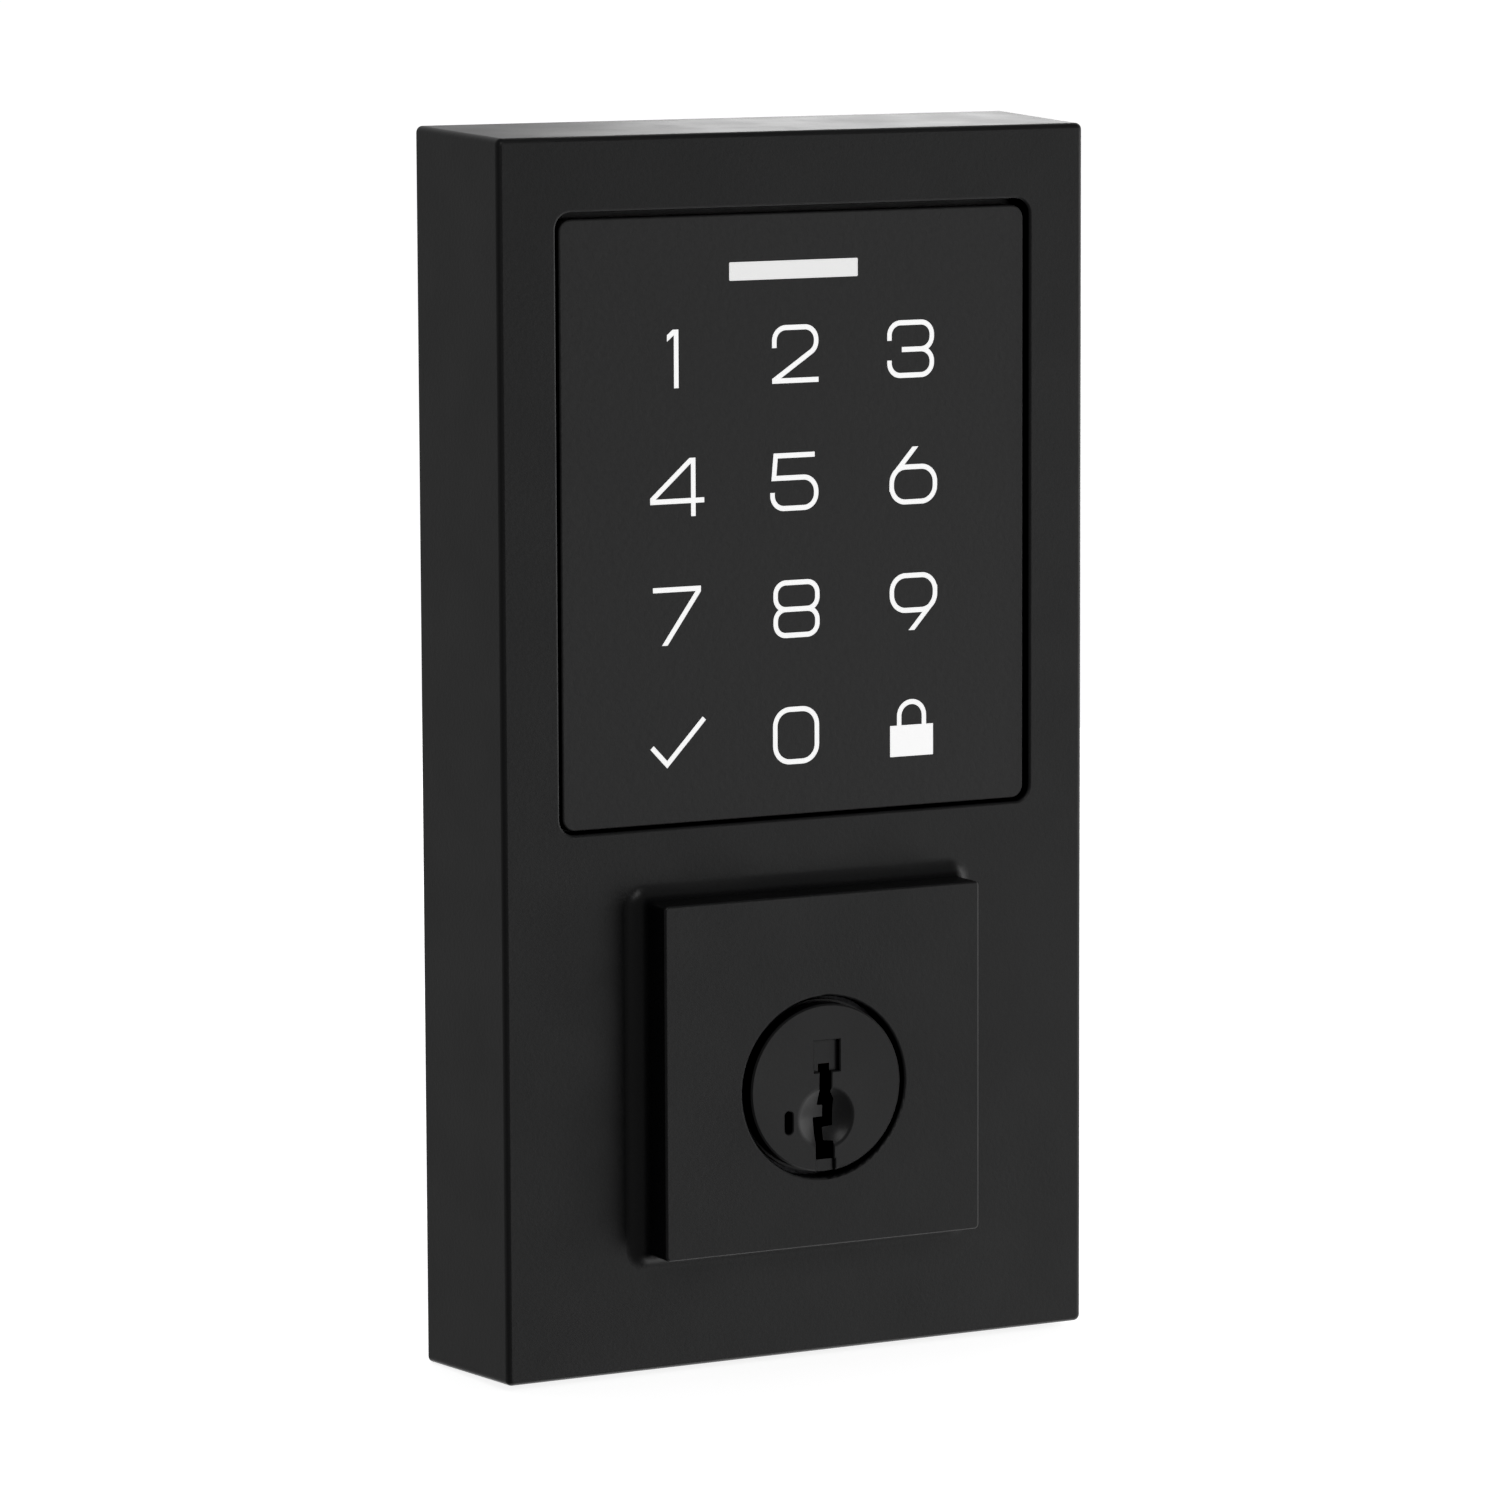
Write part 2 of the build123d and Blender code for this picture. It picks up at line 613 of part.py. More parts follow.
def board_carrier():
    """Tray that backs the board. Its ears sit on the housing's four screw bosses.

    Two bosses on its back take the top screws of the back plate.
    """
    floor_front_y = TRAY_BACK_Y - TRAY_FLOOR
    wall = slab(59.4, 67.3, BOARD_BACK_Y, floor_front_y, z=WINDOW_CENTRE_Z, corner=1.0)
    wall -= slab(56.0, 63.9, BOARD_BACK_Y, floor_front_y, z=WINDOW_CENTRE_Z, corner=1.0)
    wall = relieved(wall, BOARD_BACK_Y, floor_front_y)
    tray = wall + slab(59.4, 67.3, floor_front_y, TRAY_BACK_Y, z=WINDOW_CENTRE_Z, corner=1.0)
    tray += discs(CARRIER_SCREWS, 2.6, floor_front_y, TRAY_BACK_Y)
    tray += discs(TOP_PLATE_SCREWS, 2.6, floor_front_y, PLATE_FRONT_Y)
    for x, z in TOP_PLATE_SCREWS:
        tray -= disc(PLATE_SCREW_RADIUS + SCREW_CLEARANCE, floor_front_y, PLATE_FRONT_Y, x, z)
    for x, z in CARRIER_SCREWS:
        tray -= disc(CARRIER_SCREW_RADIUS + 0.15, floor_front_y, TRAY_BACK_Y, x, z)
    cable_notch = slab(16.0, 12.0, BOARD_BACK_Y, TRAY_BACK_Y, z=28.0, corner=1.0)
    return tray - cable_notch


def carrier_screws():
    return Compound(children=[
        screw(x, z, TRAY_BACK_Y, CARRIER_SCREW_RADIUS, CARRIER_SCREW_LENGTH, 1.9, 1.1)
        for x, z in CARRIER_SCREWS
    ])


# ---- back of the unit ---------------------------------------------------------------


def stiffening_bead(x, width, y):
    """A long rounded ridge, as pressed into sheet metal."""
    length = BEAD_LENGTH - BEAD_WIDTH + width
    ridge = slab(width, length, y - 0.1, y + BEAD_HEIGHT, x, BEAD_Z, corner=width / 2 - 0.01)
    return fillet(ridge.edges().group_by(Axis.Y)[-1], BEAD_HEIGHT * 0.9)


def back_plate():
    """Steel plate let into the rim, with holes for everything that leaves the back."""
    plate = slab(
        PLATE_WIDTH, PLATE_HEIGHT, PLATE_FRONT_Y, PLATE_BACK_Y, z=BASE_CENTRE_Z,
        corner=PLATE_CORNER,
    )
    for side in (-1, 1):
        plate += stiffening_bead(side * BEAD_X, BEAD_WIDTH, PLATE_BACK_Y)
        plate -= stiffening_bead(side * BEAD_X, BEAD_WIDTH - 1.0, PLATE_FRONT_Y)
    plate -= disc(CYLINDER_REAR_RADIUS + 0.4, PLATE_FRONT_Y, PLATE_BACK_Y)
    plate -= slab(
        OUTLET_WIDTH, OUTLET_HEIGHT, PLATE_FRONT_Y, PLATE_BACK_Y, z=OUTLET_Z,
        corner=OUTLET_HEIGHT / 2 - 0.01,
    )
    for side in (-1, 1):
        plate -= disc(POST_RADIUS + SCREW_CLEARANCE, PLATE_FRONT_Y, PLATE_BACK_Y, side * POST_SPACING / 2)
    for x, z in PLATE_SCREWS:
        plate -= countersunk_head(x, z)
    return plate


def countersunk_head(x, z):
    """The cone of a countersunk head, which is as deep as the plate is thick."""
    return cone(PLATE_SCREW_RADIUS, PLATE_SCREW_HEAD_RADIUS, PLATE_FRONT_Y, PLATE_BACK_Y, x, z)


def back_plate_screws():
    screws = []
    for x, z in PLATE_SCREWS:
        shank = disc(PLATE_SCREW_RADIUS, PLATE_FRONT_Y - PLATE_SCREW_LENGTH, PLATE_FRONT_Y, x, z)
        recess = cross_recess(x, z, PLATE_BACK_Y, 2.2)
        screws.append(shank + countersunk_head(x, z) - recess)
    return Compound(children=screws)


def door_gasket():
    """Foam frame round the back plate, flush with the housing's rim."""
    inner_width = PLATE_WIDTH - 2 * DOOR_GASKET_WIDTH
    inner_height = PLATE_HEIGHT - 2 * DOOR_GASKET_WIDTH
    frame = slab(PLATE_WIDTH, PLATE_HEIGHT, PLATE_BACK_Y, 0, z=BASE_CENTRE_Z, corner=PLATE_CORNER)
    return frame - slab(inner_width, inner_height, PLATE_BACK_Y, 0, z=BASE_CENTRE_Z, corner=1.0)


def cable_grommet():
    """Rubber bush with a lip on each side of the plate."""

    def oval(width, height, y_front, y_back):
        return slab(width, height, y_front, y_back, z=OUTLET_Z, corner=height / 2 - 0.01)

    lip = 1.2
    bush = oval(OUTLET_WIDTH, OUTLET_HEIGHT, PLATE_FRONT_Y, PLATE_BACK_Y)
    bush += oval(OUTLET_WIDTH + 2 * lip, OUTLET_HEIGHT + 2 * lip, PLATE_FRONT_Y - 0.8, PLATE_FRONT_Y)
    bush += oval(OUTLET_WIDTH + 2 * lip, OUTLET_HEIGHT + 2 * lip, PLATE_BACK_Y, PLATE_BACK_Y + 0.8)
    hole_width = OUTLET_WIDTH - 2 * GROMMET_WALL
    hole_height = OUTLET_HEIGHT - 2 * GROMMET_WALL
    return bush - oval(hole_width, hole_height, PLATE_FRONT_Y - 1, PLATE_BACK_Y + 1)


def mounting_posts():
    """Two tapped posts with a flange that bears on the inside of the back plate."""
    posts = []
    for side in (-1, 1):
        x = side * POST_SPACING / 2
        post = disc(POST_RADIUS, PLATE_FRONT_Y, POST_REACH, x)
        post = chamfer(post.edges().group_by(Axis.Y)[-1], 0.5)
        post += disc(POST_FLANGE_RADIUS, PLATE_FRONT_Y - POST_FLANGE_THICKNESS, PLATE_FRONT_Y, x)
        post -= disc(POST_HOLE_RADIUS, POST_REACH - POST_HOLE_DEPTH, POST_REACH, x)
        posts.append(post)
    return Compound(children=posts)


# ---- key cylinder -------------------------------------------------------------------


def sidebar_profile():
    """Section of the locking bar, with a bevelled outer edge."""
    z = SIDEBAR_Z
    tip = SIDEBAR_TIP_X
    corners = [(-4.85, -0.5), (-4.85, 0.5), (-8.0, 0.5), (tip, 0.2), (tip, -0.2), (-8.0, -0.5)]
    return make_face(Polyline(*[(x, z + dz) for x, dz in corners], close=True))


def groove_profile():
    """Section of the groove that the locking bar drops into, a little wider than the bar."""
    z = SIDEBAR_Z
    floor = SIDEBAR_TIP_X - SIDEBAR_TRAVEL - 0.15
    corners = [(-8.5, -0.7), (-8.5, 0.7), (-9.0, 0.7), (floor, 0.3), (floor, -0.3), (-9.0, -0.7)]
    return make_face(Polyline(*[(x, z + dz) for x, dz in corners], close=True))


def cylinder_body():
    """Fixed barrel that the plug turns in, with a square flange for its four screws."""
    flange_front_y = WALL_BACK_Y
    flange_back_y = WALL_BACK_Y + CYLINDER_FLANGE_THICKNESS
    barrel = disc(CYLINDER_FRONT_RADIUS, CYLINDER_FRONT_Y, flange_back_y)
    barrel += slab(CYLINDER_FLANGE, CYLINDER_FLANGE, flange_front_y, flange_back_y, corner=5.0)
    barrel += disc(CYLINDER_REAR_RADIUS, flange_back_y, CYLINDER_END)
    barrel = chamfer(barrel.edges().group_by(Axis.Y)[-1], 0.5)
    barrel -= disc(BORE_RADIUS, CYLINDER_FRONT_Y, CYLINDER_END)
    for x, z in CYLINDER_SCREWS:
        barrel -= disc(CYLINDER_SCREW_RADIUS + 0.2, flange_front_y, flange_back_y, x, z)
    groove = prism(groove_profile(), -20.5, 1.2)
    for quarter_turn in (-90, 0, 90):
        barrel -= Rot(0, quarter_turn, 0) * groove
    return barrel


def cylinder_screws():
    seat_y = WALL_BACK_Y + CYLINDER_FLANGE_THICKNESS
    return Compound(children=[
        screw(x, z, seat_y, CYLINDER_SCREW_RADIUS, CYLINDER_SCREW_LENGTH, 2.6, 1.7)
        for x, z in CYLINDER_SCREWS
    ])


def face_dish():
    """Shallow round hollow that guides the key's tip."""
    sphere_radius = (DISH_RADIUS**2 + DISH_DEPTH**2) / (2 * DISH_DEPTH)
    sphere_y = PLUG_FRONT_Y + DISH_DEPTH - sphere_radius
    return Pos(DISH_CENTRE[0], sphere_y, DISH_CENTRE[1]) * Sphere(sphere_radius)


def face_cuts():
    """What is cut into the plug's face besides the dish, each with a small bevel at its mouth."""
    keyway = make_face(Polyline(*KEYWAY, close=True))
    recess = Pos(*RECESS_CENTRE) * Rectangle(*RECESS_SIZE)
    foot = Pos(*FOOT_CENTRE) * Rectangle(*FOOT_SIZE)
    tool_slot = Pos(*TOOL_SLOT_CENTRE) * RectangleRounded(*TOOL_SLOT_SIZE, TOOL_SLOT_SIZE[0] / 2 - 0.01)
    cuts = []
    for outline, end_y in (
        (keyway, KEYWAY_END_Y),
        (recess, PLUG_FRONT_Y + RECESS_DEPTH),
        (foot, PLUG_FRONT_Y + FOOT_DEPTH),
        (tool_slot, CARRIER_Y[0] + 0.5),
    ):
        cuts.append(prism(outline, PLUG_FRONT_Y, end_y))
        cuts.append(lead_in(outline, FACE_BEVEL, PLUG_FRONT_Y))
    return cuts


def follower_chambers():
    """Five shafts over the keyway, each with a side slot towards the rack carrier."""
    cuts = []
    for y in FOLLOWER_YS:
        shaft_y = (y - CHAMBER_HALF_LENGTH, y + CHAMBER_HALF_LENGTH)
        cuts.append(block(CHAMBER_X, shaft_y, (2.9, SPRING_TOP_Z)))
        cuts.append(block((-0.67, 0.53), (y - 1.1, y + 1.1), (2.3, 3.0)))
        side_slot_z = (DRIVE_TOOTH_Z[0] - 0.2, DRIVE_TOOTH_Z[1] + FOLLOWER_LIFT + 0.3)
        cuts.append(block((CARRIER_FACE_X, -1.4), (y - 0.6, y + 0.6), side_slot_z))
    return cuts


def rack_carrier_pocket():
    low_y, high_y = CARRIER_Y
    low_z, high_z = CARRIER_Z
    return block(
        (-10.0, CARRIER_FACE_X + CARRIER_GAP),
        (low_y - CARRIER_GAP, high_y + CARRIER_GAP),
        (low_z - CARRIER_GAP, high_z + CARRIER_GAP),
    )


def lost_motion_pocket():
    """Hollow in the plug's end that lets the tailpiece swing a quarter turn by itself."""
    reach = HEAD_LENGTH / 2 + 0.2
    side = HEAD_WIDTH / 2 + 0.05
    y_range = (6.0, STUB_END + 1)
    upper = block((-reach, side), y_range, (-side, reach))
    lower = block((-side, reach), y_range, (-reach, side))
    return (upper + lower) & disc(reach, *y_range)


def key_plug():
    """The plug that the key turns."""
    plug = disc(PLUG_RADIUS, PLUG_FRONT_Y, CYLINDER_END)
    plug = chamfer(plug.edges().group_by(Axis.Y)[0], PLUG_CHAMFER)
    dish_reach = (DISH_RADIUS + 0.1, DISH_RADIUS + 0.1)
    plug = rounded_opening(plug, face_dish(), PLUG_FRONT_Y, dish_reach, DISH_RIM_RADIUS)
    collar_back_y = CYLINDER_FRONT_Y - PLUG_RUNNING_GAP
    plug += disc(PLUG_COLLAR_RADIUS, collar_back_y - PLUG_COLLAR_THICKNESS, collar_back_y)
    plug += disc(STUB_RADIUS, CYLINDER_END, STUB_END)
    plug -= face_cuts()
    plug -= follower_chambers()
    plug -= rack_carrier_pocket()
    plug -= block((-2.15, 2.15), (-20.5, -0.5), (SPRING_TOP_Z - 0.01, 10.0))
    for x in DRILL_PIN_XS:
        plug -= drill_pin(x, DRILL_PIN_LENGTH + 4.0, z=-2.0)
    clip_y = (CYLINDER_END + 0.1, CYLINDER_END + 0.1 + CLIP_THICKNESS)
    plug -= disc(STUB_RADIUS + 1, *clip_y) - disc(STUB_RADIUS - 1.05, *clip_y)
    return plug - lost_motion_pocket()


def drill_pin(x, length, z=0.0):
    """A round pin that stands across the plug."""
    return Pos(x, DRILL_PIN_Y, z) * Cylinder(DRILL_PIN_RADIUS, length)


def anti_drill_pins():
    return Compound(children=[drill_pin(x, DRILL_PIN_LENGTH) for x in DRILL_PIN_XS])


def spring_cover():
    """Strip that closes the tops of the follower shafts, rounded to the plug."""
    strip = block((-2.1, 2.1), (-20.4, -0.6), (SPRING_TOP_Z, 10.0))
    return strip & disc(PLUG_RADIUS - 0.05, -20.4, -0.6)


def rack_carrier():
    """Half-round carrier beside the followers. Five slots hold the racks, one the locking bar."""
    low_y, high_y = CARRIER_Y
    carrier = block((-10.0, CARRIER_FACE_X), CARRIER_Y, CARRIER_Z) & disc(CARRIER_RADIUS, *CARRIER_Y)
    for y in FOLLOWER_YS:
        slot_y = (y - RACK_HALF_LENGTH - 0.1, y + RACK_HALF_LENGTH + 0.1)
        carrier -= block((RACK_X[0] - 0.1, 0.0), slot_y, (-4.3, 10.0))
    bar_z = (SIDEBAR_Z - 0.55, SIDEBAR_Z + 0.55)
    carrier -= block((-10.0, RACK_X[0] - 0.05), (low_y + 0.4, high_y - 0.4), bar_z)
    for y in SIDEBAR_SPRING_YS:
        well = Pos(-4.0, y, SIDEBAR_Z) * Rot(0, 90, 0) * Cylinder(0.55, 1.7)
        carrier -= well
    return carrier


def sidebar():
    """Locking bar. It springs out into the barrel's groove when the racks let it."""
    return prism(sidebar_profile(), CARRIER_Y[0] + 0.5, CARRIER_Y[1] - 0.5)


def sidebar_springs():
    spring = coil(mean_radius=0.38, wire_radius=0.08, length=1.65, turns=5)
    return Compound(children=[
        Pos(-3.2, y, SIDEBAR_Z) * Rot(0, -90, 0) * spring for y in SIDEBAR_SPRING_YS
    ])


def key_follower(y):
    """Block with a blade that dips into the keyway and a tooth that drives its rack."""
    tip = make_face(Polyline((-1.0, 3.0), (1.0, 3.0), (1.0, 0.5), (0.3, -0.4), (-0.3, -0.4), (-1.0, 0.5),
                             close=True))
    blade = extrude(Plane.YZ.offset(-0.57) * Pos(y, 0) * tip, 1.0)
    body = block((-1.35, 1.25), (y - 1.25, y + 1.25), (2.95, 4.9))
    tooth = block((-2.65, -1.35), (y - 0.45, y + 0.45), DRIVE_TOOTH_Z)
    return body + blade + tooth


def follower_rack(y):
    """Rack that rises with its follower, notched for the locking bar."""
    span = (y - RACK_HALF_LENGTH, y + RACK_HALF_LENGTH)
    rack = block(RACK_X, span, (-4.0, RACK_TOP_TOOTH_Z + 0.15))
    for i in range(5):
        z = RACK_TOP_TOOTH_Z - RACK_TOOTH_PITCH * i
        rack += block((RACK_X[1], RACK_X[1] + 0.45), span, (z - 0.15, z + 0.15))
    return rack - block((RACK_X[0], RACK_X[0] + 0.8), span, (SIDEBAR_Z - 0.6, SIDEBAR_Z + 0.6))


def follower_spring(y):
    return Pos(-0.05, y, 4.9) * coil(mean_radius=0.95, wire_radius=0.12, length=3.1, turns=5)


def plug_retaining_clip():
    """Open ring that holds the plug in the barrel from behind."""
    front_y = CYLINDER_END + 0.1
    back_y = front_y + CLIP_THICKNESS
    clip = disc(9.9, front_y, back_y) - disc(STUB_RADIUS - 1.0, front_y, back_y)
    mouth = Polyline((0, 0), (9, -14), (-9, -14), close=True)
    return clip - prism(make_face(mouth), front_y, back_y)


def tailpiece():
    """Flat bar that reaches through the door. Its head sits in the plug's pocket."""
    head = slab(HEAD_WIDTH, HEAD_LENGTH, 6.1, 8.8)
    head &= disc(HEAD_LENGTH / 2, 6.1, 8.8)
    blade = slab(BLADE_THICKNESS, BLADE_WIDTH, 8.8, TAILPIECE_END)
    blade = chamfer(blade.edges().group_by(Axis.Y)[-1], 0.6)
    return head + blade


def tailpiece_cap():
    """Cap pressed over the plug's end. The blade passes through its hole."""
    cap = disc(7.5, 5.6, STUB_END + CAP_THICKNESS)
    cap = fillet(cap.edges().group_by(Axis.Y)[-1], 0.4)
    cap -= disc(STUB_RADIUS, 5.6, STUB_END)
    return cap - disc(3.7, STUB_END, STUB_END + CAP_THICKNESS)


# ---- writing the files --------------------------------------------------------------


def build_all():
    legends = keypad_legends()
    parts = {
        "front_housing": front_housing(),
        "touch_panel": touch_panel(legends),
        "keypad_legends": legends,
        "status_light_window": status_light_window(),
        "panel_gasket": panel_gasket(),
        "touch_sensor_sheet": touch_sensor_sheet(),
        "light_mask": light_mask(),
        "keypad_board": keypad_board(),
        "keypad_leds": keypad_leds(),
        "controller_chip": controller_chip(),
        "buzzer": buzzer(),
        "board_connector": board_connector(),
        "board_carrier": board_carrier(),
        "carrier_screws": carrier_screws(),
        "back_plate": back_plate(),
        "back_plate_screws": back_plate_screws(),
        "door_gasket": door_gasket(),
        "cable_grommet": cable_grommet(),
        "mounting_posts": mounting_posts(),
        "cylinder_body": cylinder_body(),
        "cylinder_screws": cylinder_screws(),
        "key_plug": key_plug(),
        "anti_drill_pins": anti_drill_pins(),
        "spring_cover": spring_cover(),
        "rack_carrier": rack_carrier(),
        "sidebar": sidebar(),
        "sidebar_springs": sidebar_springs(),
        "plug_retaining_clip": plug_retaining_clip(),
        "tailpiece": tailpiece(),
        "tailpiece_cap": tailpiece_cap(),
    }
    for number, y in enumerate(FOLLOWER_YS, start=1):
        parts[f"key_follower_{number}"] = key_follower(y)
        parts[f"follower_rack_{number}"] = follower_rack(y)
        parts[f"follower_spring_{number}"] = follower_spring(y)
    return parts


os.makedirs("parts", exist_ok=True)
for name, shape in build_all().items():
    export_step(shape, f"parts/{name}.step")
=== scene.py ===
import json
import math

import bpy
from mathutils import Matrix, Vector


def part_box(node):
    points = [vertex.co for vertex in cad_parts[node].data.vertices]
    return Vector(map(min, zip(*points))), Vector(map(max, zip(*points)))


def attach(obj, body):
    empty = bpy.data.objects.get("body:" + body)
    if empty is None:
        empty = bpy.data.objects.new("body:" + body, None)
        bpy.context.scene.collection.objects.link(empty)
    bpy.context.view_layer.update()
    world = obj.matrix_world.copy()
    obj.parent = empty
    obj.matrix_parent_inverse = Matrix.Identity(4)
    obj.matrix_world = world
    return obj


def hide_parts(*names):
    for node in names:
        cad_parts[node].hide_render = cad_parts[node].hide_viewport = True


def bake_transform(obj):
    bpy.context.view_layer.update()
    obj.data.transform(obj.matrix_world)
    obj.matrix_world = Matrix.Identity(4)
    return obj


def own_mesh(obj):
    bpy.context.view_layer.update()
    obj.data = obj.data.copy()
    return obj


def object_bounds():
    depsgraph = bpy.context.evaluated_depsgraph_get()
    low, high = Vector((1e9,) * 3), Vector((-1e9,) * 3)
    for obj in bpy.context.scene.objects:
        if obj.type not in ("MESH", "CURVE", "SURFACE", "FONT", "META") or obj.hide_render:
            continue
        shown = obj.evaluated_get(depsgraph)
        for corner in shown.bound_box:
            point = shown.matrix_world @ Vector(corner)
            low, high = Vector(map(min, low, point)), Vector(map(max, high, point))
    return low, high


# Looks of a keypad smart lock's outside unit. Metres, in the CAD model's own frame:
# the front faces -Y, +Z is up, and the key cylinder's axis passes through the origin.

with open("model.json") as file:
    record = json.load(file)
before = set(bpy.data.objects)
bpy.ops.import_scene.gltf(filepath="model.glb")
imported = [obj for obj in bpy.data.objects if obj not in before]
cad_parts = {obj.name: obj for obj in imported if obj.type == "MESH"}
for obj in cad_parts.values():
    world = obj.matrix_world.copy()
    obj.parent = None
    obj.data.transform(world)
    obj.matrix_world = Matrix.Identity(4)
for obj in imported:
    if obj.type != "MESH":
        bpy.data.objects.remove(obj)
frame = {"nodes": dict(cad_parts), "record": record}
cad_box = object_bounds()

MM = 0.001


# ---- camera -------------------------------------------------------------------------

CAMERA_PLACE = (-0.3518, -0.6715, 0.1313)
CAMERA_AZIMUTH = -27.894
CAMERA_ELEVATION = 7.4
CAMERA_ROLL = -0.236
CAMERA_LENS = 172.15
SENSOR_WIDTH = 36.0


def add_camera():
    """A long lens, to the left of the lock and a little above its middle."""
    azimuth = math.radians(CAMERA_AZIMUTH)
    elevation = math.radians(CAMERA_ELEVATION)
    back = Vector((
        math.sin(azimuth) * math.cos(elevation),
        -math.cos(azimuth) * math.cos(elevation),
        math.sin(elevation),
    ))
    data = bpy.data.cameras.new("camera")
    data.lens = CAMERA_LENS
    data.sensor_width = SENSOR_WIDTH
    data.clip_start = 0.01
    data.clip_end = 50.0
    camera = bpy.data.objects.new("camera", data)
    aim = (-back).to_track_quat("-Z", "Y").to_matrix()
    roll = Matrix.Rotation(math.radians(CAMERA_ROLL), 3, "Z")
    camera.matrix_world = Matrix.Translation(CAMERA_PLACE) @ (aim @ roll).to_4x4()
    bpy.context.collection.objects.link(camera)
    bpy.context.scene.camera = camera


# ---- studio -------------------------------------------------------------------------

FLOOR_HALF_SIZE = 8.0
FLOOR_GLOW = 0.85
FLOOR_PATCH_SIZE = 60 * MM
ROOM_LIGHT = 0.16
# Soft bright parts of the room: where each one is, how wide, and how bright
ROOM_PATCHES = [
    ((0.66, 0.74, 0.12), 0.30, 0.88, 0.4),
    ((0.60, 0.35, -0.72), 0.50, 0.95, 2.0),
    ((-0.50, 0.86, 0.05), 0.20, 0.90, 0.17),
]
# Softboxes: where each stands, how wide it is, and how bright its face is
SOFTBOXES = {
    "key": ((-0.16, -1.13, 0.65), 0.45, 2.7),
    "side": ((1.10, -1.25, -0.42), 1.3, 0.81),
    "rake": ((1.30, -0.45, 0.10), 0.8, 1.4),
    "top": ((0.34, 0.32, 0.14), 0.35, 2.1),
}
LOCK_MIDDLE = (0.0, 0.0, 0.035)


def add_floor():
    """A plain pale floor under the lock. It takes a faint shadow and doesn't light the lock."""
    low, _ = cad_box
    reach = FLOOR_HALF_SIZE
    mesh = bpy.data.meshes.new("floor")
    ends = [(-reach, -reach), (reach, -reach), (reach, reach), (-reach, reach)]
    corners = [(x, y, low.z) for x, y in ends]
    mesh.from_pydata(corners, [], [(0, 1, 2, 3)])
    floor = bpy.data.objects.new("floor", mesh)
    bpy.context.collection.objects.link(floor)
    floor.visible_diffuse = False
    floor.visible_glossy = False
    finish = Finish("floor", (0.9, 0.9, 0.9), 0.9)
    finish.vary_color(finish.noise(FLOOR_PATCH_SIZE), 0.01)
    finish.glow(FLOOR_GLOW)
    mesh.materials.append(finish.material)


def add_world():
    """White to look at. As a light it is a dim room with soft bright patches."""
    world = bpy.data.worlds.new("studio")
    bpy.context.scene.world = world
    world.use_nodes = True
    nodes, links = world.node_tree.nodes, world.node_tree.links
    nodes.clear()
    place = nodes.new("ShaderNodeTexCoord")
    brightness = nodes.new("ShaderNodeValue").outputs[0]
    brightness.default_value = ROOM_LIGHT
    for direction, start, full, patch_light in ROOM_PATCHES:
        toward = nodes.new("ShaderNodeVectorMath")
        toward.operation = "DOT_PRODUCT"
        toward.inputs[1].default_value = Vector(direction).normalized()
        fade = nodes.new("ShaderNodeMapRange")
        fade.interpolation_type = "SMOOTHSTEP"
        fade.inputs["From Min"].default_value = start
        fade.inputs["From Max"].default_value = full
        fade.inputs["To Max"].default_value = patch_light
        total = nodes.new("ShaderNodeMath")
        links.new(place.outputs["Generated"], toward.inputs[0])
        links.new(toward.outputs["Value"], fade.inputs["Value"])
        links.new(brightness, total.inputs[0])
        links.new(fade.outputs["Result"], total.inputs[1])
        brightness = total.outputs[0]
    room = nodes.new("ShaderNodeBackground")
    backdrop = nodes.new("ShaderNodeBackground")
    backdrop.inputs["Color"].default_value = (1.0, 1.0, 1.0, 1.0)
    path = nodes.new("ShaderNodeLightPath")
    choose = nodes.new("ShaderNodeMixShader")
    output = nodes.new("ShaderNodeOutputWorld")
    links.new(brightness, room.inputs["Strength"])
    links.new(path.outputs["Is Camera Ray"], choose.inputs[0])
    links.new(room.outputs[0], choose.inputs[1])
    links.new(backdrop.outputs[0], choose.inputs[2])
    links.new(choose.outputs[0], output.inputs["Surface"])


def add_softboxes():
    """Square area lights that point at the lock's middle."""
    for name, (place, size, brightness) in SOFTBOXES.items():
        data = bpy.data.lights.new(name, "AREA")
        data.shape = "SQUARE"
        data.size = size
        data.energy = brightness * math.pi * size * size
        light = bpy.data.objects.new(name, data)
        aim = (Vector(LOCK_MIDDLE) - Vector(place)).to_track_quat("-Z", "Y").to_matrix().to_4x4()
        light.matrix_world = Matrix.Translation(place) @ aim
        light.visible_camera = False
        bpy.context.collection.objects.link(light)


# ---- finishes -----------------------------------------------------------------------

# Places of the colour sockets on the Mix node, whose names they share with other types
MIX_FIRST_COLOR = 6
MIX_SECOND_COLOR = 7
MIX_COLOR_RESULT = 2
# Noise lies mostly between these, so ranges are taken from them
NOISE_LOW = 0.3
NOISE_HIGH = 0.7
TRACKS_PER_METRE = 600.0


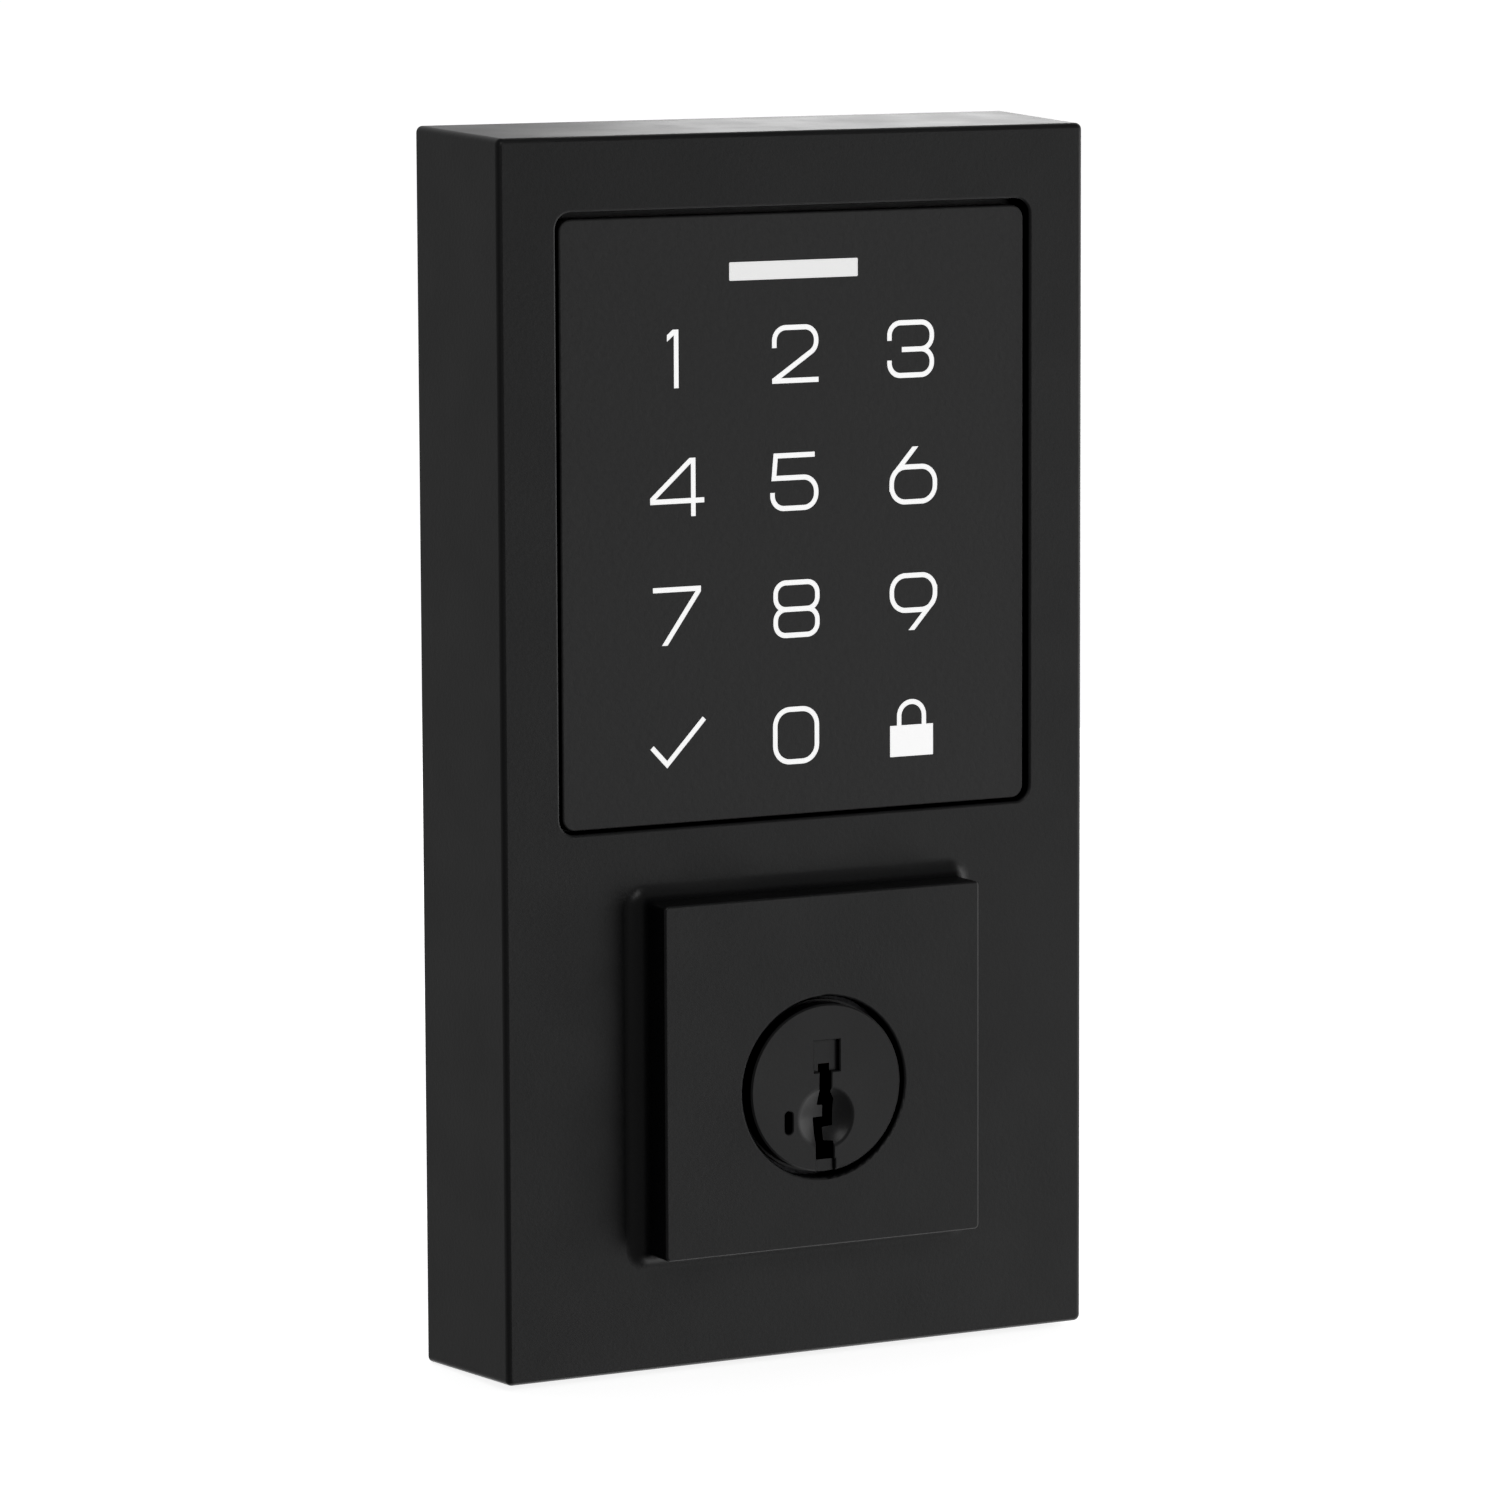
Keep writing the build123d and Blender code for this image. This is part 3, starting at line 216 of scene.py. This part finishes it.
class Finish:
    """A procedural material. Its textures are placed by the CAD frame, in metres."""

    def __init__(self, name, color, roughness, metallic=0.0, ior=1.5):
        self.material = bpy.data.materials.new(name)
        self.material.use_nodes = True
        self.tree = self.material.node_tree
        self.shader = self.tree.nodes["Principled BSDF"]
        self.color = color
        self.roughness = roughness
        self.shader.inputs["Base Color"].default_value = (*color, 1.0)
        self.shader.inputs["Roughness"].default_value = roughness
        self.shader.inputs["Metallic"].default_value = metallic
        self.shader.inputs["IOR"].default_value = ior
        self.place = self.add("ShaderNodeTexCoord").outputs["Object"]
        self.normal = None

    def add(self, kind, **settings):
        node = self.tree.nodes.new(kind)
        for key, value in settings.items():
            setattr(node, key, value)
        return node

    def feed(self, source, target):
        """Puts a socket or a plain value into an input."""
        if isinstance(source, bpy.types.NodeSocket):
            self.tree.links.new(source, target)
        else:
            target.default_value = source

    def stretched(self, stretch):
        """The place, scaled by axis."""
        mapping = self.add("ShaderNodeMapping")
        self.feed(self.place, mapping.inputs["Vector"])
        mapping.inputs["Scale"].default_value = stretch
        return mapping.outputs["Vector"]

    def noise(self, size, detail=2.0, rough=0.5, place=None, distortion=0.0):
        node = self.add("ShaderNodeTexNoise")
        self.feed(place or self.place, node.inputs["Vector"])
        node.inputs["Scale"].default_value = 1.0 / size
        node.inputs["Detail"].default_value = detail
        node.inputs["Roughness"].default_value = rough
        node.inputs["Distortion"].default_value = distortion
        return node.outputs["Fac"]

    def cells(self, size, feature="F1", place=None):
        node = self.add("ShaderNodeTexVoronoi", feature=feature)
        self.feed(place or self.place, node.inputs["Vector"])
        node.inputs["Scale"].default_value = 1.0 / size
        return node.outputs["Distance"]

    def math(self, operation, a, b):
        node = self.add("ShaderNodeMath", operation=operation)
        self.feed(a, node.inputs[0])
        self.feed(b, node.inputs[1])
        return node.outputs[0]

    def ranged(self, value, low, high, to_low=0.0, to_high=1.0):
        node = self.add("ShaderNodeMapRange")
        self.feed(value, node.inputs["Value"])
        node.inputs["From Min"].default_value = low
        node.inputs["From Max"].default_value = high
        node.inputs["To Min"].default_value = to_low
        node.inputs["To Max"].default_value = to_high
        return node.outputs["Result"]

    def vary_color(self, factor, amount, tint=(1.0, 1.0, 1.0)):
        """Moves the colour up and down by a share of itself, as the texture goes from low to high."""
        dark = [c * (1.0 - amount) for c in self.color]
        light = [c * (1.0 + amount) * t for c, t in zip(self.color, tint)]
        self.mix_color(self.ranged(factor, NOISE_LOW, NOISE_HIGH), dark, light)

    def mix_color(self, factor, first, second):
        """Colour from first to second by a factor."""
        node = self.add("ShaderNodeMix", data_type="RGBA")
        self.feed(factor, node.inputs["Factor"])
        node.inputs[MIX_FIRST_COLOR].default_value = (*first, 1.0)
        node.inputs[MIX_SECOND_COLOR].default_value = (*second, 1.0)
        self.feed(node.outputs[MIX_COLOR_RESULT], self.shader.inputs["Base Color"])

    def vary_roughness(self, factor, amount):
        low, high = self.roughness - amount, self.roughness + amount
        rough = self.ranged(factor, NOISE_LOW, NOISE_HIGH, low, high)
        self.feed(rough, self.shader.inputs["Roughness"])

    def glow(self, strength):
        self.shader.inputs["Emission Color"].default_value = (1.0, 1.0, 1.0, 1.0)
        self.shader.inputs["Emission Strength"].default_value = strength

    def bump(self, height, depth):
        """Raises the surface by the texture, depth metres from 0 to 1. Bumps add up."""
        node = self.add("ShaderNodeBump")
        node.inputs["Distance"].default_value = depth
        node.inputs["Strength"].default_value = 1.0
        self.feed(height, node.inputs["Height"])
        if self.normal is not None:
            self.feed(self.normal, node.inputs["Normal"])
        self.normal = node.outputs["Normal"]
        self.feed(self.normal, self.shader.inputs["Normal"])


def powder_paint(name, color, roughness, peel=0.45 * MM, depth=1.0):
    """Baked powder coat: fine orange peel, finer grain, and a slow drift in gloss."""
    grain = 0.16 * MM
    finish = Finish(name, color, roughness, ior=1.45)
    drift = finish.noise(9 * MM, detail=3)
    finish.vary_color(finish.noise(grain, detail=1), 0.10)
    finish.vary_roughness(drift, 0.035)
    finish.bump(finish.noise(peel, detail=1.5), 0.012 * MM * depth)
    finish.bump(finish.noise(grain, detail=1), 0.006 * MM * depth)
    return finish


def leather_grain(name, color, roughness):
    """Moulded plastic with a shallow leather-like grain of irregular cells."""
    finish = Finish(name, color, roughness, ior=1.45)
    warped = finish.noise(0.55 * MM, detail=2.5, rough=0.6, distortion=0.6)
    creases = finish.cells(0.7 * MM, feature="SMOOTH_F1")
    finish.vary_color(warped, 0.12)
    finish.vary_roughness(warped, 0.05)
    finish.bump(creases, 0.010 * MM)
    finish.bump(warped, 0.016 * MM)
    return finish


def moulded(name, color, roughness, texture=0.3 * MM):
    """Moulded plastic or rubber with a fine spark-eroded texture."""
    finish = Finish(name, color, roughness)
    finish.vary_color(finish.noise(3 * MM, detail=3), 0.06)
    finish.vary_roughness(finish.noise(5 * MM, detail=3), 0.04)
    finish.bump(finish.noise(texture, detail=2), 0.006 * MM)
    return finish


def foam(name, color):
    """Closed-cell foam with open pores at its cut faces."""
    finish = Finish(name, color, 0.92, ior=1.4)
    pores = finish.cells(0.55 * MM)
    fine = finish.cells(0.22 * MM)
    finish.vary_color(pores, 0.35)
    finish.vary_roughness(fine, 0.05)
    finish.bump(pores, 0.12 * MM)
    finish.bump(fine, 0.04 * MM)
    return finish


def rolled_steel(name, color, roughness, along=(1.0, 1.0, 0.03)):
    """Plated sheet or bar: long rolling marks, faint spangle and small stains."""
    finish = Finish(name, color, roughness, metallic=1.0)
    marks = finish.noise(0.25 * MM, detail=3, place=finish.stretched(along))
    spangle = finish.cells(2.4 * MM)
    stains = finish.noise(11 * MM, detail=4, rough=0.6)
    finish.vary_color(stains, 0.07, tint=(1.0, 0.995, 0.97))
    mixed = finish.math(
        "ADD", finish.math("MULTIPLY", marks, 0.6), finish.math("MULTIPLY", spangle, 0.4)
    )
    finish.vary_roughness(mixed, 0.07)
    finish.bump(marks, 0.004 * MM)
    return finish


def turned_steel(name, color, roughness):
    """Lathe-turned metal: rings along the Y axis, plus a faint tumbled haze."""
    finish = Finish(name, color, roughness, metallic=1.0)
    rings = finish.noise(0.16 * MM, detail=2, place=finish.stretched((0.02, 1.0, 0.02)))
    haze = finish.noise(1.8 * MM, detail=4, rough=0.6)
    finish.vary_color(haze, 0.06)
    finish.vary_roughness(haze, 0.06)
    finish.bump(rings, 0.006 * MM)
    return finish


def cast_zinc(name, color, roughness):
    """Die-cast and tumbled zinc with a dark finish."""
    finish = Finish(name, color, roughness, metallic=0.85)
    skin = finish.noise(0.5 * MM, detail=4, rough=0.65)
    finish.vary_color(finish.noise(2.5 * MM, detail=4), 0.15)
    finish.vary_roughness(skin, 0.08)
    finish.bump(skin, 0.012 * MM)
    return finish


def plastic_with_painted_glow(name, color, roughness, glow, amount=0.04):
    """White plastic, slightly uneven, with a painted glow that stands in for the light falling on it."""
    finish = Finish(name, color, roughness)
    specks = finish.noise(0.25 * MM, detail=2)
    finish.vary_color(specks, amount)
    finish.vary_roughness(specks, 0.05)
    finish.bump(specks, 0.003 * MM)
    # Painted glow: the plastic shines by itself in place of lamp light on it
    finish.glow(glow)
    return finish


def circuit_board(name, color):
    """Solder mask over fine copper tracks."""
    finish = Finish(name, color, 0.35)
    tracks = finish.add("ShaderNodeTexBrick", offset=0.5)
    finish.feed(finish.stretched([TRACKS_PER_METRE] * 3), tracks.inputs["Vector"])
    finish.mix_color(tracks.outputs["Fac"], color, [c * 1.7 for c in color])
    finish.vary_roughness(finish.noise(2 * MM, detail=3), 0.05)
    finish.bump(tracks.outputs["Fac"], 0.02 * MM)
    return finish


def film(name, color):
    """Polyimide film with a slight ripple."""
    finish = Finish(name, color, 0.25)
    finish.vary_color(finish.noise(4 * MM, detail=3), 0.08)
    finish.vary_roughness(finish.noise(1 * MM, detail=3), 0.05)
    finish.bump(finish.noise(3 * MM), 0.02 * MM)
    return finish


def all_finishes():
    """One finish for each material slot of the record."""
    return {
        "case_paint": powder_paint("case_paint", (0.0135, 0.0136, 0.0141), 0.38),
        "plug_paint": powder_paint("plug_paint", (0.014, 0.014, 0.0145), 0.34, peel=0.6 * MM, depth=0.6),
        "panel_plastic": leather_grain("panel_plastic", (0.031, 0.031, 0.0313), 0.44),
        # The legends and the light window carry a painted glow in place of lamp light on them
        "legend_white": plastic_with_painted_glow("legend_white", (0.92, 0.92, 0.92), 0.45, 0.62, amount=0.015),
        "light_window": plastic_with_painted_glow("light_window", (0.84, 0.84, 0.83), 0.4, 0.5),
        "seal_rubber": moulded("seal_rubber", (0.013, 0.013, 0.013), 0.72),
        "gasket_foam": foam("gasket_foam", (0.022, 0.022, 0.024)),
        "sensor_film": film("sensor_film", (0.42, 0.2, 0.04)),
        "mask_plastic": moulded("mask_plastic", (0.012, 0.012, 0.012), 0.6),
        "board_laminate": circuit_board("board_laminate", (0.01, 0.09, 0.035)),
        "led_chip": moulded("led_chip", (0.85, 0.82, 0.6), 0.3),
        "chip_epoxy": moulded("chip_epoxy", (0.02, 0.02, 0.02), 0.55, texture=0.1 * MM),
        "connector_nylon": moulded("connector_nylon", (0.68, 0.65, 0.55), 0.5),
        "tray_plastic": moulded("tray_plastic", (0.04, 0.04, 0.043), 0.55),
        "screw_steel": turned_steel("screw_steel", (0.30, 0.29, 0.27), 0.32),
        "plate_steel": rolled_steel("plate_steel", (0.46, 0.47, 0.47), 0.36),
        "post_steel": turned_steel("post_steel", (0.6, 0.59, 0.57), 0.3),
        "cylinder_metal": cast_zinc("cylinder_metal", (0.06, 0.06, 0.063), 0.5),
        "follower_brass": turned_steel("follower_brass", (0.72, 0.52, 0.22), 0.3),
        "rack_steel": cast_zinc("rack_steel", (0.5, 0.5, 0.5), 0.4),
        "hard_steel": turned_steel("hard_steel", (0.34, 0.34, 0.37), 0.25),
        "spring_wire": turned_steel("spring_wire", (0.6, 0.6, 0.6), 0.25),
        "tailpiece_steel": rolled_steel(
            "tailpiece_steel", (0.6, 0.6, 0.57), 0.33, along=(1.0, 0.03, 1.0)
        ),
        "cap_steel": rolled_steel("cap_steel", (0.66, 0.6, 0.42), 0.3, along=(1.0, 1.0, 1.0)),
    }


def paint_nodes(finishes):
    """Gives every CAD node the finish of its own slot in the record."""
    for entry in frame["record"]["subparts"]:
        node = frame["nodes"][entry["node"]]
        finish = finishes[entry["material_slot"]]
        for material_slot in node.material_slots:
            material_slot.material = finish.material


# ---- springs ------------------------------------------------------------------------
# Each spring is wound here in place of its rigid CAD node.

WIRE_SIDES = 10
STEPS_PER_TURN = 28
SPRING_TURNS = 5
SPRING_GAP = 0.01 * MM
FOLLOWER_WIRE_RADIUS = 0.12 * MM
SIDEBAR_WIRE_RADIUS = 0.08 * MM


def wind(corners, faces, foot, along, length, coil_radius, wire_radius):
    """Adds a round wire wound round the line that runs along from foot, closed at its ends."""
    first = len(corners)
    side = along.orthogonal().normalized()
    other = along.cross(side)
    steps = SPRING_TURNS * STEPS_PER_TURN
    for step in range(steps + 1):
        angle = math.tau * step / STEPS_PER_TURN
        outward = side * math.cos(angle) + other * math.sin(angle)
        rise = wire_radius + (length - 2 * wire_radius) * step / steps
        middle = foot + along * rise + outward * coil_radius
        for corner in range(WIRE_SIDES):
            turn = math.tau * corner / WIRE_SIDES
            across = outward * math.cos(turn) + along * math.sin(turn)
            corners.append(middle + across * wire_radius)
    for step in range(steps):
        ring = first + step * WIRE_SIDES
        for corner in range(WIRE_SIDES):
            a, b = ring + corner, ring + (corner + 1) % WIRE_SIDES
            faces.append((a, a + WIRE_SIDES, b + WIRE_SIDES, b))
    last = first + steps * WIRE_SIDES
    faces.append(tuple(range(first, first + WIRE_SIDES)))
    faces.append(tuple(reversed(range(last, last + WIRE_SIDES))))


def spring_piece(name, corners, faces, node, finish):
    """One piece of spring wire that stands for a CAD node. Its end caps are flat."""
    mesh = bpy.data.meshes.new(name)
    mesh.from_pydata(corners, [], faces)
    mesh.polygons.foreach_set("use_smooth", [len(face) == 4 for face in faces])
    mesh.materials.append(finish.material)
    piece = bpy.data.objects.new(name, mesh)
    bpy.context.collection.objects.link(piece)
    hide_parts(node)
    return piece


def add_follower_springs(finish):
    """Each stands on its follower, where its CAD node was, and hangs from the key plug's body."""
    for number in range(1, 6):
        node = f"follower_spring_{number}"
        low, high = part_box(node)
        centre = (low + high) / 2
        foot = Vector((centre.x, centre.y, low.z + SPRING_GAP))
        length = high.z - foot.z
        coil_radius = (high.x - low.x) / 2 - FOLLOWER_WIRE_RADIUS
        corners, faces = [], []
        wind(corners, faces, foot, Vector((0, 0, 1)), length, coil_radius, FOLLOWER_WIRE_RADIUS)
        piece = spring_piece(f"wound_spring_{number}", corners, faces, node, finish)
        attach(piece, "key_plug")
        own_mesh(piece)


def add_sidebar_springs(finish):
    """Two in one piece, each wound from its outer end inward across the CAD node's box."""
    node = "sidebar_springs"
    low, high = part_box(node)
    radius = (high.z - low.z) / 2
    outer_x = low.x + SPRING_GAP
    corners, faces = [], []
    for y in (low.y + radius, high.y - radius):
        foot = Vector((outer_x, y, low.z + radius))
        coil_radius = radius - SIDEBAR_WIRE_RADIUS
        length = high.x - outer_x
        wind(corners, faces, foot, Vector((1, 0, 0)), length, coil_radius, SIDEBAR_WIRE_RADIUS)
    piece = spring_piece("wound_sidebar_springs", corners, faces, node, finish)
    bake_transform(piece)


# ---- the whole scene ----------------------------------------------------------------

BLACK_LEVEL = 0.0015


def set_tones():
    """Plain tones, with the very darkest pulled down to black."""
    view = bpy.context.scene.view_settings
    view.view_transform = "Standard"
    view.use_curve_mapping = True
    view.curve_mapping.black_level = [BLACK_LEVEL] * 3
    view.curve_mapping.update()


set_tones()
add_camera()
add_world()
add_floor()
add_softboxes()
finishes = all_finishes()
paint_nodes(finishes)
add_follower_springs(finishes["spring_wire"])
add_sidebar_springs(finishes["spring_wire"])
